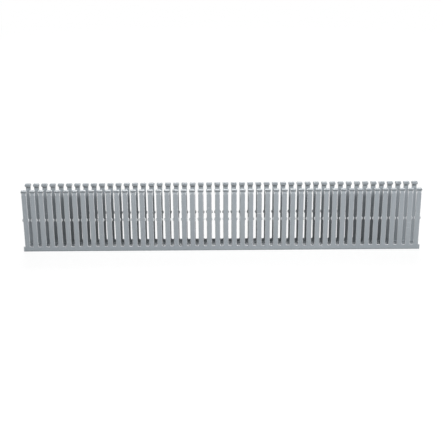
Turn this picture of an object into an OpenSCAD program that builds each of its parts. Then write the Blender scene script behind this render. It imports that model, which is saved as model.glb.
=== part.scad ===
// Slotted wire duct: one moulded open channel with a row of T-headed fingers down each side.
// Millimetres. X runs along the duct, Z is up, the origin is the middle of the underside.

/* [Channel] */
// Outside width at the underside
base_w = 26; // [15:1:120]
// Height of the channel without its cover
duct_h = 77.8; // [30:1:120]
// Thickness of both walls
wall_t = 1.5; // [1:0.1:3]
// Thickness of the floor
floor_t = 1.6; // [1:0.1:3]
// Outward lean of each wall in degrees
wall_lean = 2.6; // [0:0.1:4]
// Radius along the two bottom outer edges
edge_r = 0.8; // [0.3:0.1:1.2]
// Size of the fillet strip between wall and floor, inside
root_fillet = 1.2; // [0.5:0.1:2]

/* [Fingers and slots] */
// Distance from one finger to the next
finger_pitch = 10; // [8:0.5:12.5]
// Fingers on each wall
finger_count = 48; // [2:1:200]
// Clear width of a slot between two finger bodies
slot_w = 4; // [3:0.1:6]
// Height of the slot bottoms above the underside
slot_bottom = 6.3; // [4:0.1:20]
// Radius in the bottom corners of a slot
slot_r = 1; // [0.4:0.1:1.4]
// Width of the mouth left between two finger heads
mouth_w = 2.8; // [1.5:0.1:2.9]
// Height of the full-width top of a head
head_h = 2.4; // [1.2:0.1:4]
// Radius of a head's top corners, which opens the mouth for wires
head_r = 1.2; // [0.3:0.1:1.2]
// Height of the tapered shoulder under a head
shoulder_h = 2.6; // [1:0.1:5]
// Height of the wire-stop nubs above the underside
nub_z = 40.5; // [20:0.5:50]
// Length of a nub where it leaves the finger's edge
nub_h = 4.2; // [3:0.1:6]
// How far a nub stands into the slot
nub_out = 1.15; // [0.3:0.05:1.4]

/* [Lip and cover catch] */
// Depth of the inward lip from the wall's outer face
lip_w = 5; // [3.5:0.1:6]
// Thickness of the lip's top
lip_t = 1.3; // [0.8:0.1:2]
// Height of the lip's turned-down edge, overall
lip_drop = 3.4; // [3:0.1:6]
// Height of the bevel under that edge, where it faces down into the channel
lip_bevel = 0.6; // [0.3:0.1:1.5]
// Thickness of the turned-down edge
lip_edge_t = 1.3; // [1:0.1:1.6]
// Thickness left at the foot of that edge
lip_foot_t = 0.9; // [0.3:0.05:0.9]
// Radius of the lip's outer top corner
lip_outer_r = 0.35; // [0.2:0.05:0.4]
// Radius of the lip's inner top corner
lip_inner_r = 0.8; // [0.3:0.1:1.2]
// Height of the bead that a cover hooks under
bead_h = 0.5; // [0.5:0.1:1.5]
// How far the bead stands out from the wall
bead_out = 0.5; // [0:0.05:0.6]
// Height of the V-shaped cover groove in the outer face, under the bead
groove_h = 4.6; // [3:0.1:6]
// Depth of that groove
groove_d = 0.6; // [0.2:0.05:0.8]

/* [Fixing holes] */
// Diameter of the round holes in the floor
hole_d = 5; // [3:0.1:8]
// Distance from one hole to the next
hole_pitch = 50; // [20:5:100]
// Number of holes in the row
hole_count = 9; // [1:1:40]

/* [Hidden] */
$fn = 48;
duct_l = finger_count * finger_pitch;
wall_l = (duct_h - lip_w * sin(wall_lean)) / cos(wall_lean);
foot_y = base_w / 2;
through = base_w + 2 * duct_h * sin(wall_lean) + 10;
head_z = duct_h - head_h;
neck_z = head_z - shoulder_h;
eps = 0.01;

// square corner left outside a round of radius r, corner at the origin, material to -x -y
module corner_waste(r) {
    difference() {
        translate([-r, -r]) square([r + 1, r + 1]);
        translate([-r, -r]) circle(r);
    }
}

// point on the right wall, u inward from the outer face, v up the outer face from the underside
function wall_pt(u, v) = [
    foot_y - u * cos(wall_lean) + v * sin(wall_lean), u * sin(wall_lean) + v * cos(wall_lean)
];

right_side = [
    [foot_y, 0],
    // shallow groove a cover snaps into, under the bead
    wall_pt(0, wall_l - bead_h - groove_h),
    wall_pt(groove_d, wall_l - bead_h - groove_h / 2),
    wall_pt(-bead_out, wall_l - bead_h),
    // lip and its turned-down edge
    wall_pt(-bead_out, wall_l),
    wall_pt(lip_w, wall_l),
    wall_pt(lip_w, wall_l - lip_drop + lip_bevel),
    wall_pt(lip_w - lip_edge_t + lip_foot_t, wall_l - lip_drop),
    wall_pt(lip_w - lip_edge_t, wall_l - lip_drop),
    wall_pt(lip_w - lip_edge_t, wall_l - lip_t),
    wall_pt(wall_t, wall_l - lip_t),
    // fillet strip and floor
    wall_pt(wall_t, floor_t + root_fillet),
    wall_pt(wall_t + root_fillet * 0.3, floor_t + root_fillet * 0.3),
    [foot_y - wall_t - root_fillet, floor_t]
];
left_side = [for (i = [len(right_side) - 1 : -1 : 0]) [-right_side[i][0], right_side[i][1]]];

module channel_section() {
    difference() {
        polygon(concat(right_side, left_side));
        for (side = [0, 1]) mirror([side, 0]) {
            translate([foot_y, 0]) mirror([0, 1]) corner_waste(edge_r);
            translate(wall_pt(-bead_out, wall_l)) rotate(-wall_lean) corner_waste(lip_outer_r);
            translate(wall_pt(lip_w, wall_l)) rotate(-wall_lean) mirror([1, 0])
                corner_waste(lip_inner_r);
        }
    }
}

// right half of one slot's outline, from its bottom up through the mouth
module slot_half() {
    difference() {
        polygon([
            [-eps, slot_bottom], [slot_w / 2, slot_bottom], [slot_w / 2, neck_z],
            [mouth_w / 2, head_z], [mouth_w / 2, duct_h + 5], [-eps, duct_h + 5]
        ]);
        translate([slot_w / 2, slot_bottom]) mirror([0, 1]) corner_waste(slot_r);
        // nub with sloped ends
        polygon([
            [slot_w / 2 + 1, nub_z - nub_h / 2], [slot_w / 2, nub_z - nub_h / 2],
            [slot_w / 2 - nub_out, nub_z - nub_h / 2 + nub_out],
            [slot_w / 2 - nub_out, nub_z + nub_h / 2 - nub_out],
            [slot_w / 2, nub_z + nub_h / 2], [slot_w / 2 + 1, nub_z + nub_h / 2]
        ]);
    }
    translate([mouth_w / 2, duct_h]) mirror([1, 0]) corner_waste(head_r);
}

module slot_cutter() {
    rotate([90, 0, 0]) linear_extrude(through, center = true) {
        slot_half();
        mirror([1, 0]) slot_half();
    }
}

module slotted_duct() {
    color([0.62, 0.65, 0.67]) difference() {
        rotate([90, 0, 90]) linear_extrude(duct_l, center = true) channel_section();
        // a slot between every two fingers and half a slot at each cut end
        for (i = [0 : finger_count])
            translate([(i - finger_count / 2) * finger_pitch, 0, 0]) slot_cutter();
        for (i = [0 : hole_count - 1])
            translate([(i - (hole_count - 1) / 2) * hole_pitch, 0, -1])
                cylinder(h = floor_t + 2, d = hole_d);
    }
}

slotted_duct();
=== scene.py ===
from math import cos, pi, radians, sin

import bmesh
import bpy
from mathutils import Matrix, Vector


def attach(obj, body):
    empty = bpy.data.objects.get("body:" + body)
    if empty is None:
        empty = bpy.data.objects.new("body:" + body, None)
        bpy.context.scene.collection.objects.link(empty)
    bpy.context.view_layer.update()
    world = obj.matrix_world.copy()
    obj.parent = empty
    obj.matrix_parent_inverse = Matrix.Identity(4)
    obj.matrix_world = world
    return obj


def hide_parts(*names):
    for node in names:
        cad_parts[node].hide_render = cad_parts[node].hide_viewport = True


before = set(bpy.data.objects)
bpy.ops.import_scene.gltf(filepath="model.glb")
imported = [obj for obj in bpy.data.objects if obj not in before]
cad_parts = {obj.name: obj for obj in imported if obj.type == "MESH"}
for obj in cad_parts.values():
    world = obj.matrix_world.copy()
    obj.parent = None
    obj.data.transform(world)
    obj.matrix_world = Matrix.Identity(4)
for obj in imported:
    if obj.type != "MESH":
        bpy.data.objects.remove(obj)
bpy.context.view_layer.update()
print("frame loaded")

scene = bpy.context.scene


def link(thing):
    scene.collection.objects.link(thing)
    return thing


# Camera: a long lens from above the near wall
cameraView = {
    "target": (-0.0003, -0.013, 0.037),  # m, on the near wall at half its height
    "distance": 1.212,                   # m
    "elevation": 18.84,                  # degrees above the horizon
    "swing": 0.29,                       # degrees to the right of straight ahead
    "roll": -0.30,                       # degrees
    "lens": 81.9,                        # mm
    "sensor": 36,                        # mm wide
    "clipEnd": 60,                       # m
}


def placeCamera(view):
    camera = link(bpy.data.objects.new("camera", bpy.data.cameras.new("camera")))
    camera.data.sensor_width = view["sensor"]
    camera.data.lens = view["lens"]
    camera.data.clip_end = view["clipEnd"]
    rise = radians(view["elevation"])
    swing = radians(view["swing"])
    ahead = Vector((sin(swing) * cos(rise), cos(swing) * cos(rise), -sin(rise)))
    camera.location = Vector(view["target"]) - view["distance"] * ahead
    camera.rotation_euler = ahead.to_track_quat("-Z", "Y").to_euler()
    camera.rotation_euler.rotate_axis("Z", radians(view["roll"]))
    scene.camera = camera


placeCamera(cameraView)
print("camera placed")


# Small helpers for node trees
def addNode(tree, kind, **settings):
    node = tree.nodes.new("ShaderNode" + kind)
    for name, value in settings.items():
        setattr(node, name, value)
    return node


def feed(tree, socket, source):
    if isinstance(source, bpy.types.NodeSocket):
        tree.links.new(source, socket)
    else:
        socket.default_value = source


def calc(tree, operation, a, b=0.0):
    node = addNode(tree, "Math", operation=operation)
    feed(tree, node.inputs[0], a)
    feed(tree, node.inputs[1], b)
    return node.outputs[0]


def inverted(tree, value):
    return calc(tree, "SUBTRACT", 1.0, value)


def raised(tree, value, base, gain):
    # base where value is 0, base and gain together where it is 1
    return calc(tree, "ADD", base, calc(tree, "MULTIPLY", value, gain))


def thinned(tree, value, where, share):
    # takes that share of value away where the mask is 1
    return calc(tree, "MULTIPLY", value, inverted(tree, calc(tree, "MULTIPLY", where, share)))


def fade(tree, value, low, high):
    # 0 below low, 1 above high, soft between
    node = addNode(tree, "MapRange", interpolation_type="SMOOTHSTEP")
    feed(tree, node.inputs["Value"], value)
    node.inputs["From Min"].default_value = low
    node.inputs["From Max"].default_value = high
    return node.outputs["Result"]


def band(tree, value, limits):
    # comes in between the first two limits and goes out between the last two
    start, full, fading, gone = limits
    return calc(tree, "SUBTRACT", fade(tree, value, start, full), fade(tree, value, fading, gone))


def stretched(tree, vector, scale):
    node = addNode(tree, "Mapping")
    feed(tree, node.inputs["Vector"], vector)
    node.inputs["Scale"].default_value = scale
    return node.outputs["Vector"]


def cloud(tree, vector, scale, detail=2.0, roughness=0.5):
    node = addNode(tree, "TexNoise")
    feed(tree, node.inputs["Vector"], vector)
    feed(tree, node.inputs["Scale"], scale)
    node.inputs["Detail"].default_value = detail
    node.inputs["Roughness"].default_value = roughness
    return node.outputs["Fac"]


def blend(tree, factor, a, b):
    node = addNode(tree, "Mix", data_type="RGBA")
    feed(tree, node.inputs["Factor"], factor)
    feed(tree, node.inputs["A"], a)
    feed(tree, node.inputs["B"], b)
    return node.outputs["Result"]


def newGroup(name, inputs, outputs):
    group = bpy.data.node_groups.new(name, "ShaderNodeTree")
    for socket, kind, value in inputs:
        made = group.interface.new_socket(name=socket, in_out="INPUT", socket_type="NodeSocket" + kind)
        if value is not None:
            made.default_value = value
    for socket in outputs:
        group.interface.new_socket(name=socket, in_out="OUTPUT", socket_type="NodeSocketFloat")
    return group, group.nodes.new("NodeGroupInput"), group.nodes.new("NodeGroupOutput")


def placeGroup(tree, group, values):
    node = addNode(tree, "Group", node_tree=group)
    for name, value in values.items():
        feed(tree, node.inputs[name], value)
    return node


# Long faint lines that the forming die leaves, with the fine tooth of the plastic between them
def buildDieLines():
    group, given, result = newGroup(
        "dieLines",
        [("Vector", "Vector", None), ("Line Depth", "Float", 0.5), ("Tooth Size", "Float", 3500.0)],
        ["Height", "Streaks"],
    )
    along = stretched(group, given.outputs["Vector"], (5, 900, 900))
    lines = cloud(group, along, 1.0, 3.0, 0.6)
    tooth = cloud(group, given.outputs["Vector"], given.outputs["Tooth Size"], 2.0, 0.6)
    deep = calc(group, "MULTIPLY", lines, given.outputs["Line Depth"])
    feed(group, result.inputs["Height"], calc(group, "ADD", deep, calc(group, "MULTIPLY", tooth, 0.35)))
    feed(group, result.inputs["Streaks"], fade(group, lines, 0.3, 0.7))
    return group


# Drag lines of the punch or saw, square to the die lines
def buildCutMarks():
    group, given, result = newGroup(
        "cutMarks",
        [("Vector", "Vector", None), ("Spacing", "Float", 2200.0)],
        ["Height", "Torn"],
    )
    across = stretched(group, given.outputs["Vector"], (1, 0.06, 1))
    drag = cloud(group, across, given.outputs["Spacing"], 2.0, 0.55)
    patches = cloud(group, given.outputs["Vector"], 420.0, 1.0)
    feed(group, result.inputs["Height"], drag)
    feed(group, result.inputs["Torn"], fade(group, patches, 0.52, 0.7))
    return group


# Pale edges, partly rubbed wear and partly a painted highlight, broken up so that they aren't an even outline
def buildEdgeWearAndHighlight():
    group, given, result = newGroup(
        "edgeWearAndHighlight",
        [("Vector", "Vector", None), ("Edge", "Float", 0.0), ("Patch Size", "Float", 160.0)],
        ["Mask"],
    )
    patches = cloud(group, given.outputs["Vector"], given.outputs["Patch Size"], 3.0, 0.6)
    broken = raised(group, fade(group, patches, 0.3, 0.6), 0.6, 0.4)
    feed(group, result.inputs["Mask"], calc(group, "MULTIPLY", given.outputs["Edge"], broken))
    return group


# Sparse hair scratches and soft handling marks
def buildScuffs():
    group, given, result = newGroup(
        "scuffs",
        [("Vector", "Vector", None), ("Scratch Size", "Float", 55.0), ("Rub Size", "Float", 28.0)],
        ["Scratches", "Rubs"],
    )
    slanted = stretched(group, given.outputs["Vector"], (0.35, 1, 1.6))
    bands = cloud(group, slanted, given.outputs["Scratch Size"], 1.5, 0.4)
    fromMiddle = calc(group, "ABSOLUTE", calc(group, "SUBTRACT", bands, 0.5))
    hair = inverted(group, fade(group, fromMiddle, 0.0005, 0.0022))
    place = fade(group, cloud(group, given.outputs["Vector"], 37.0, 2.0), 0.56, 0.66)
    feed(group, result.inputs["Scratches"], calc(group, "MULTIPLY", hair, place))
    rubs = cloud(group, given.outputs["Vector"], given.outputs["Rub Size"], 4.0, 0.65)
    feed(group, result.inputs["Rubs"], fade(group, rubs, 0.54, 0.74))
    return group


# Fine dust that settles on faces turned up
def buildDust():
    group, given, result = newGroup(
        "dust",
        [("Vector", "Vector", None), ("Up", "Float", 0.0), ("Speck Size", "Float", 900.0)],
        ["Mask"],
    )
    grain = cloud(group, given.outputs["Vector"], given.outputs["Speck Size"], 3.0, 0.7)
    specks = fade(group, grain, 0.48, 0.7)
    drifts = fade(group, cloud(group, given.outputs["Vector"], 45.0, 2.0), 0.35, 0.7)
    lying = fade(group, given.outputs["Up"], 0.55, 0.95)
    patchy = calc(group, "MULTIPLY", specks, drifts)
    feed(group, result.inputs["Mask"], calc(group, "MULTIPLY", lying, patchy))
    return group


# Paleness where each finger flares into its head, and round its little catches; partly stress whitening and
# partly a painted highlight
stressAndHighlightReach = {
    "edgeFull": 0.45,                    # share of the group's reach that is fully pale
    "shoulder": (-0.6, -0.1, 0.9, 1.2),  # shares of the shoulder's height
    "catchTall": (0.0012, 0.0026),       # m above or below a catch's middle, where it goes
    "catchOut": (-0.0004, 0.0002),       # m past the finger's side, where it comes
    "catchPale": 0.75,                   # how pale a catch is beside a shoulder
}


def buildStressAndHighlight(reach):
    group, given, result = newGroup(
        "stressAndHighlight",
        [("Vector", "Vector", None), ("Pitch", "Float", 0.01), ("Half Finger", "Float", 0.003),
         ("Half Head", "Float", 0.0036), ("Neck Height", "Float", 0.0728), ("Head Height", "Float", 0.0754),
         ("Catch Height", "Float", 0.0405), ("Reach", "Float", 0.0014)],
        ["Mask"],
    )
    split = addNode(group, "SeparateXYZ")
    feed(group, split.inputs[0], given.outputs["Vector"])
    turns = calc(group, "FRACT", calc(group, "DIVIDE", split.outputs["X"], given.outputs["Pitch"]))
    fromMiddle = calc(group, "ABSOLUTE", calc(group, "SUBTRACT", turns, 0.5))
    fromMiddle = calc(group, "MULTIPLY", fromMiddle, given.outputs["Pitch"])

    rise = calc(group, "SUBTRACT", split.outputs["Z"], given.outputs["Neck Height"])
    span = calc(group, "SUBTRACT", given.outputs["Head Height"], given.outputs["Neck Height"])
    share = calc(group, "DIVIDE", rise, span)
    inSpan = addNode(group, "Clamp")
    feed(group, inSpan.inputs["Value"], share)
    flare = calc(group, "SUBTRACT", given.outputs["Half Head"], given.outputs["Half Finger"])
    flare = calc(group, "MULTIPLY", inSpan.outputs[0], flare)
    edge = calc(group, "ADD", given.outputs["Half Finger"], flare)
    fromEdge = calc(group, "DIVIDE", calc(group, "SUBTRACT", edge, fromMiddle), given.outputs["Reach"])
    near = inverted(group, fade(group, fromEdge, reach["edgeFull"], 1.0))
    shoulder = calc(group, "MULTIPLY", near, band(group, share, reach["shoulder"]))

    aboveCatch = calc(group, "SUBTRACT", split.outputs["Z"], given.outputs["Catch Height"])
    level = inverted(group, fade(group, calc(group, "ABSOLUTE", aboveCatch), *reach["catchTall"]))
    level = calc(group, "MULTIPLY", level, reach["catchPale"])
    beyond = calc(group, "SUBTRACT", fromMiddle, given.outputs["Half Finger"])
    catch = calc(group, "MULTIPLY", fade(group, beyond, *reach["catchOut"]), level)
    feed(group, result.inputs["Mask"], calc(group, "MAXIMUM", shoulder, catch))
    return group


# Darkening inside the channel, under the lips and in the cover grooves. It stands in for shade and isn't dirt
shadeReach = {
    "wallSoft": 0.0003,                        # m, half the width of its edge at the inner wall
    "aboveUnderside": (0.0006, 0.0012),        # m up, where it comes, so that the underside has none
    "aboveFloor": (0.0018, 0.003),             # m up, where the floor's lighter share ends
    "floorCut": 0.5,                           # share that the floor goes without
    "upTheWall": (0.0, 0.9),                   # rim heights, where it thins
    "wallLeast": 0.7,                          # what is left of it there
    "belowLip": (0.78, 0.88),                  # rim heights, where it goes
    "openEnd": (0.19, 0.235),                  # m from the duct's middle, where it thins
    "endCut": 0.9,                             # share that the ends go without
    "patchSize": 60.0,                         # its unevenness, larger is finer
    "patchLeast": 0.7,                         # its strength where the unevenness is least
    "patchGain": 0.6,                          # and how much more where it is most
    "lipLine": (0.955, 0.975, 0.99, 1.03),     # rim heights
    "grooveLine": (1.0, 1.012, 1.025, 1.034),  # rim heights
}


def buildChannelShade(reach):
    group, given, result = newGroup(
        "channelShade",
        [("Vector", "Vector", None), ("Half Width", "Float", 0.0121), ("Lean", "Float", 0.0454),
         ("Rim Height", "Float", 0.0745)],
        ["Inside", "Lip Line", "Groove Line"],
    )
    split = addNode(group, "SeparateXYZ")
    feed(group, split.inputs[0], given.outputs["Vector"])
    widening = calc(group, "MULTIPLY", split.outputs["Z"], given.outputs["Lean"])
    wall = calc(group, "ADD", given.outputs["Half Width"], widening)
    room = calc(group, "SUBTRACT", wall, calc(group, "ABSOLUTE", split.outputs["Y"]))
    inside = fade(group, room, -reach["wallSoft"], reach["wallSoft"])
    outside = inverted(group, inside)
    aboveUnderside = fade(group, split.outputs["Z"], *reach["aboveUnderside"])
    inside = calc(group, "MULTIPLY", inside, aboveUnderside)

    height = calc(group, "DIVIDE", split.outputs["Z"], given.outputs["Rim Height"])
    low = inverted(group, fade(group, height, *reach["upTheWall"]))
    depth = raised(group, low, reach["wallLeast"], 1 - reach["wallLeast"])
    depth = calc(group, "MULTIPLY", depth, inverted(group, fade(group, height, *reach["belowLip"])))
    onFloor = inverted(group, fade(group, split.outputs["Z"], *reach["aboveFloor"]))
    depth = thinned(group, depth, onFloor, reach["floorCut"])
    nearEnd = fade(group, calc(group, "ABSOLUTE", split.outputs["X"]), *reach["openEnd"])
    depth = thinned(group, depth, nearEnd, reach["endCut"])

    patches = cloud(group, given.outputs["Vector"], reach["patchSize"], 3.0)
    uneven = raised(group, patches, reach["patchLeast"], reach["patchGain"])
    shaded = calc(group, "MULTIPLY", calc(group, "MULTIPLY", inside, depth), uneven)
    feed(group, result.inputs["Inside"], shaded)
    lipLine = band(group, height, reach["lipLine"])
    feed(group, result.inputs["Lip Line"], calc(group, "MULTIPLY", inside, lipLine))
    grooveLine = band(group, height, reach["grooveLine"])
    feed(group, result.inputs["Groove Line"], calc(group, "MULTIPLY", outside, grooveLine))
    return group


dieLines = buildDieLines()
cutMarks = buildCutMarks()
edgeWearAndHighlight = buildEdgeWearAndHighlight()
scuffs = buildScuffs()
dust = buildDust()
stressAndHighlight = buildStressAndHighlight(stressAndHighlightReach)
channelShade = buildChannelShade(shadeReach)
print("surface effects built")


# The duct itself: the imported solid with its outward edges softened
ductShape = {
    "fingers": 48,                 # pitches along the duct
    "pitch": 0.01,                 # m
    "weld": 0.000002,              # m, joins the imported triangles
    "snap": 1e-7,                  # m, how near a point counts as on a cut
    "flat": 0.5,                   # degrees, flatter neighbours become one face
    "sharp": 28,                   # degrees, sharper outward edges are rounded
    "round": 0.00040,              # m, how far a rounding reaches from its edge
    "segments": 2,
    "smallFace": 1.6e-6,           # m2, faces under this are part of a curve
    "turned": 0.2,                 # a rounding past this, along the duct or up, counts as facing that way
    # the paleness of the roundings below is partly rubbed wear and partly a painted highlight
    "punched": 0.55,               # how pale the roundings that face along the duct are
    "drawn": 0.15,                 # how pale the others are, which the die leaves smooth
    "foot": 0.9,                   # how pale the slots' bottom edges are
    "slotFoot": (0.0045, 0.0066),  # m, the heights where those lie
    "cutFacing": 0.9,              # faces turned this far towards the duct's ends are cut
}


def roundedDuct(node, name, shape):
    bm = bmesh.new()
    bm.from_mesh(node.data)
    bmesh.ops.remove_doubles(bm, verts=bm.verts, dist=shape["weld"])
    bmesh.ops.dissolve_limit(bm, angle_limit=radians(shape["flat"]), verts=bm.verts, edges=bm.edges)
    # one cut down the middle of each finger keeps every face small and simple
    for i in range(shape["fingers"]):
        x = (i + 0.5 - shape["fingers"] / 2) * shape["pitch"]
        everything = bm.verts[:] + bm.edges[:] + bm.faces[:]
        bmesh.ops.bisect_plane(
            bm, geom=everything, dist=shape["snap"], plane_co=(x, 0, 0), plane_no=(1, 0, 0),
        )
    edgeBand = bm.faces.layers.float.new("edgeBand")
    cutFace = bm.faces.layers.float.new("cutFace")
    sharp = [e for e in bm.edges if e.is_convex and e.calc_face_angle(0) > radians(shape["sharp"])]
    rounding = bmesh.ops.bevel(
        bm, geom=sharp, offset=shape["round"], offset_type="OFFSET", affect="EDGES",
        segments=shape["segments"], profile=0.5, material=-1, clamp_overlap=False,
    )
    for face in bm.faces:
        face[cutFace] = 1 if abs(face.normal.x) > shape["cutFacing"] else 0
        face.smooth = face.calc_area() < shape["smallFace"]
    low, high = shape["slotFoot"]
    for face in rounding["faces"]:
        face[edgeBand] = shape["punched"] if abs(face.normal.x) > shape["turned"] else shape["drawn"]
        if low < face.calc_center_median().z < high and face.normal.z > shape["turned"]:
            face[edgeBand] = shape["foot"]
        face.smooth = True
    many = [f for f in bm.faces if len(f.verts) > 4]
    bmesh.ops.triangulate(bm, faces=many, quad_method="BEAUTY", ngon_method="EAR_CLIP")
    mesh = bpy.data.meshes.new(name)
    bm.to_mesh(mesh)
    print("duct faces", len(bm.faces), "open edges", sum(not e.is_manifold for e in bm.edges))
    bm.free()
    return link(bpy.data.objects.new(name, mesh))


# Grey rigid PVC, as drawn from the die, with punched slots and sawn ends
greyPvcLook = {
    "colour": (0.316, 0.349, 0.378, 1),
    "paler": (0.368, 0.400, 0.425, 1),    # in slow drifts of the mix
    "edge": (0.80, 0.81, 0.82, 1),        # rubbed and stretched edges, partly a painted highlight; the scratches use it too
    "cut": (0.41, 0.435, 0.452, 1),       # punched and sawn faces
    "strainedAndHighlit": (0.62, 0.635, 0.648, 1),  # shoulders and catches, partly stress whitening and partly a painted highlight
    "dust": (0.56, 0.555, 0.54, 1),
    "shade": (0.11, 0.118, 0.124, 1),     # stands in for shade inside the channel
    # how much of each shows where its mask is full
    "driftPaler": 0.35,
    "streakPaler": 0.12,
    "rubPaler": 0.16,
    "scratchPale": 0.5,
    "dustShown": 0.15,
    "insideShade": 0.76,
    "grooveShade": 0.48,
    "lipShade": 0.65,
    "cutLeast": 0.5,                      # how far a cut face is its own colour where it isn't torn
    # sizes of the patterns, larger is finer
    "driftSize": 14.0,
    "toothSize": 3500.0,
    "punchSpacing": 2200.0,
    "edgePatch": 160.0,
    "scratchSize": 55.0,
    "rubSize": 28.0,
    "speckSize": 900.0,
    # roughness, and what each adds to it
    "roughness": 0.42,
    "streakRough": 0.05,
    "rubRough": 0.10,
    "cutRough": 0.18,
    "dustRough": 0.25,
    # relief
    "lineDepth": 0.6,                     # of the die lines
    "cutRelief": 1.6,                     # of the punch lines
    "scratchDepth": 0.5,
    "bump": 0.12,
    "bumpDistance": 0.00015,              # m
}


def mixedColour(tree, look, where, cut, effects):
    lines, marks, wearAndHighlight, rubbed, settled, strainedAndHighlit, shaded = effects

    def over(colour, mask, amount, paint):
        return blend(tree, calc(tree, "MULTIPLY", mask, look[amount]), colour, look[paint])

    drift = fade(tree, cloud(tree, where, look["driftSize"], 3.0, 0.55), 0.35, 0.7)
    colour = over(look["colour"], drift, "driftPaler", "paler")
    colour = over(colour, lines.outputs["Streaks"], "streakPaler", "paler")
    colour = over(colour, rubbed.outputs["Rubs"], "rubPaler", "paler")
    torn = raised(tree, marks.outputs["Torn"], look["cutLeast"], 1 - look["cutLeast"])
    colour = blend(tree, calc(tree, "MULTIPLY", cut, torn), colour, look["cut"])
    colour = over(colour, rubbed.outputs["Scratches"], "scratchPale", "edge")
    colour = over(colour, settled.outputs["Mask"], "dustShown", "dust")
    colour = over(colour, shaded.outputs["Inside"], "insideShade", "shade")
    colour = over(colour, shaded.outputs["Groove Line"], "grooveShade", "shade")
    # stress whitening on shoulders and catches, partly a painted highlight
    colour = blend(tree, strainedAndHighlit.outputs["Mask"], colour, look["strainedAndHighlit"])
    colour = over(colour, shaded.outputs["Lip Line"], "lipShade", "shade")
    # pale edges, partly rubbed wear and partly a painted highlight
    return blend(tree, wearAndHighlight.outputs["Mask"], colour, look["edge"])


def makeGreyPvc(look):
    material = bpy.data.materials.new("greyPvc")
    material.use_nodes = True
    tree = material.node_tree
    shader = tree.nodes["Principled BSDF"]
    where = addNode(tree, "TexCoord").outputs["Object"]
    edge = addNode(tree, "Attribute", attribute_name="edgeBand").outputs["Fac"]
    cut = addNode(tree, "Attribute", attribute_name="cutFace").outputs["Fac"]
    facing = addNode(tree, "SeparateXYZ")
    feed(tree, facing.inputs[0], addNode(tree, "NewGeometry").outputs["Normal"])

    dieValues = {"Vector": where, "Line Depth": look["lineDepth"], "Tooth Size": look["toothSize"]}
    lines = placeGroup(tree, dieLines, dieValues)
    marks = placeGroup(tree, cutMarks, {"Vector": where, "Spacing": look["punchSpacing"]})
    wearAndHighlightValues = {"Vector": where, "Edge": edge, "Patch Size": look["edgePatch"]}
    wearAndHighlight = placeGroup(tree, edgeWearAndHighlight, wearAndHighlightValues)
    scuffValues = {"Vector": where, "Scratch Size": look["scratchSize"], "Rub Size": look["rubSize"]}
    rubbed = placeGroup(tree, scuffs, scuffValues)
    dustValues = {"Vector": where, "Up": facing.outputs["Z"], "Speck Size": look["speckSize"]}
    settled = placeGroup(tree, dust, dustValues)
    strainedAndHighlit = placeGroup(tree, stressAndHighlight, {"Vector": where})
    shaded = placeGroup(tree, channelShade, {"Vector": where})

    effects = (lines, marks, wearAndHighlight, rubbed, settled, strainedAndHighlit, shaded)
    feed(tree, shader.inputs["Base Color"], mixedColour(tree, look, where, cut, effects))

    rough = look["roughness"]
    for mask, amount in (
        (lines.outputs["Streaks"], "streakRough"),
        (rubbed.outputs["Rubs"], "rubRough"),
        (cut, "cutRough"),
        (settled.outputs["Mask"], "dustRough"),
    ):
        rough = calc(tree, "ADD", rough, calc(tree, "MULTIPLY", mask, look[amount]))
    feed(tree, shader.inputs["Roughness"], rough)

    drawnPart = calc(tree, "MULTIPLY", lines.outputs["Height"], inverted(tree, cut))
    cutPart = calc(tree, "MULTIPLY", marks.outputs["Height"], calc(tree, "MULTIPLY", cut, look["cutRelief"]))
    scratched = calc(tree, "MULTIPLY", rubbed.outputs["Scratches"], look["scratchDepth"])
    height = calc(tree, "SUBTRACT", calc(tree, "ADD", drawnPart, cutPart), scratched)
    relief = addNode(tree, "Bump")
    relief.inputs["Strength"].default_value = look["bump"]
    relief.inputs["Distance"].default_value = look["bumpDistance"]
    feed(tree, relief.inputs["Height"], height)
    feed(tree, shader.inputs["Normal"], relief.outputs["Normal"])
    return material


duct = roundedDuct(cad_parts["slotted_duct"], "ductBody", ductShape)
duct.data.materials.append(makeGreyPvc(greyPvcLook))
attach(duct, "root")
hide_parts("slotted_duct")
print("duct made")


# White paper floor and soft studio light
studio = {
    "floorHalf": 8,              # m
    "floorBounce": 0.45,         # grey that the floor gives back to the duct
    "floorShade": 0.12,          # how much of the floor's white comes from the lamps, and so shows shadow
    "floorLight": 0.75,          # light that falls on the open floor, white being 1
    "shadeNear": 0.7,            # m, from here outwards the floor turns to plain white
    "shadeFar": 2.0,             # m, and is plain white from here on
    "ambient": 0.04,             # light from all round
    "lampTarget": (0, 0, 0.04),  # m, what every lamp points at
}
# the right lamp is the stronger, so the duct is lit unevenly from side to side
lamps = {
    "topLamp": {"at": (0, 2.0, 2.0), "size": 1.6, "level": 1.0},
    "frontLamp": {"at": (0.03, -0.57, 0.36), "size": 0.25, "level": 0.37},
    "rightLamp": {"at": (2.3, -1.8, 1.1), "size": 1.2, "level": 0.58},
    "leftLamp": {"at": (-2.3, -1.8, 1.1), "size": 1.2, "level": 0.15},
}


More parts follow.
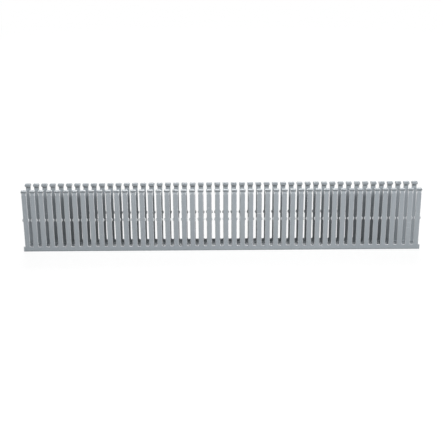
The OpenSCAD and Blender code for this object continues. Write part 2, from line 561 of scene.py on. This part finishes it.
def seenOrUsed(tree, seen, used):
    # one value for what looks at it straight or in a reflection, one for the light it gives
    path = addNode(tree, "LightPath")
    seenRay = calc(tree, "MAXIMUM", path.outputs["Is Camera Ray"], path.outputs["Is Glossy Ray"])
    seenRay = calc(tree, "MAXIMUM", seenRay, path.outputs["Is Transmission Ray"])
    mix = addNode(tree, "Mix")
    feed(tree, mix.inputs["Factor"], seenRay)
    feed(tree, mix.inputs["A"], used)
    feed(tree, mix.inputs["B"], seen)
    return mix.outputs["Result"]


def makeFloor(values):
    bm = bmesh.new()
    bmesh.ops.create_grid(bm, x_segments=1, y_segments=1, size=values["floorHalf"])
    mesh = bpy.data.meshes.new("floor")
    bm.to_mesh(mesh)
    bm.free()
    floor = link(bpy.data.objects.new("floor", mesh))
    paper = bpy.data.materials.new("paper")
    paper.use_nodes = True
    tree = paper.node_tree
    shader = tree.nodes["Principled BSDF"]
    shader.inputs["Roughness"].default_value = 1
    shader.inputs["Specular IOR Level"].default_value = 0
    shader.inputs["Emission Strength"].default_value = 1
    outward = addNode(tree, "VectorMath", operation="LENGTH")
    feed(tree, outward.inputs[0], addNode(tree, "TexCoord").outputs["Object"])
    far = fade(tree, outward.outputs["Value"], values["shadeNear"], values["shadeFar"])
    shade = calc(tree, "MULTIPLY", inverted(tree, far), values["floorShade"])
    shown = calc(tree, "DIVIDE", shade, values["floorLight"])
    feed(tree, shader.inputs["Base Color"], seenOrUsed(tree, shown, values["floorBounce"]))
    feed(tree, shader.inputs["Emission Color"], seenOrUsed(tree, inverted(tree, shade), 0.0))
    floor.data.materials.append(paper)


def makeWorld(values):
    world = bpy.data.worlds.new("studio")
    scene.world = world
    world.use_nodes = True
    tree = world.node_tree
    background = tree.nodes["Background"]
    background.inputs["Color"].default_value = (1, 1, 1, 1)
    feed(tree, background.inputs["Strength"], seenOrUsed(tree, 1.0, values["ambient"]))


def hangLamps(settings, target):
    for name, lamp in settings.items():
        data = bpy.data.lights.new(name, "AREA")
        away = Vector(lamp["at"]) - target
        data.size = lamp["size"]
        data.energy = lamp["level"] * pi ** 2 * away.length_squared  # 1 lights white paper to plain white
        light = link(bpy.data.objects.new(name, data))
        light.location = lamp["at"]
        light.rotation_euler = away.to_track_quat("Z", "Y").to_euler()


makeFloor(studio)
makeWorld(studio)
hangLamps(lamps, Vector(studio["lampTarget"]))
scene.view_settings.view_transform = "Standard"
print("floor and lamps set")
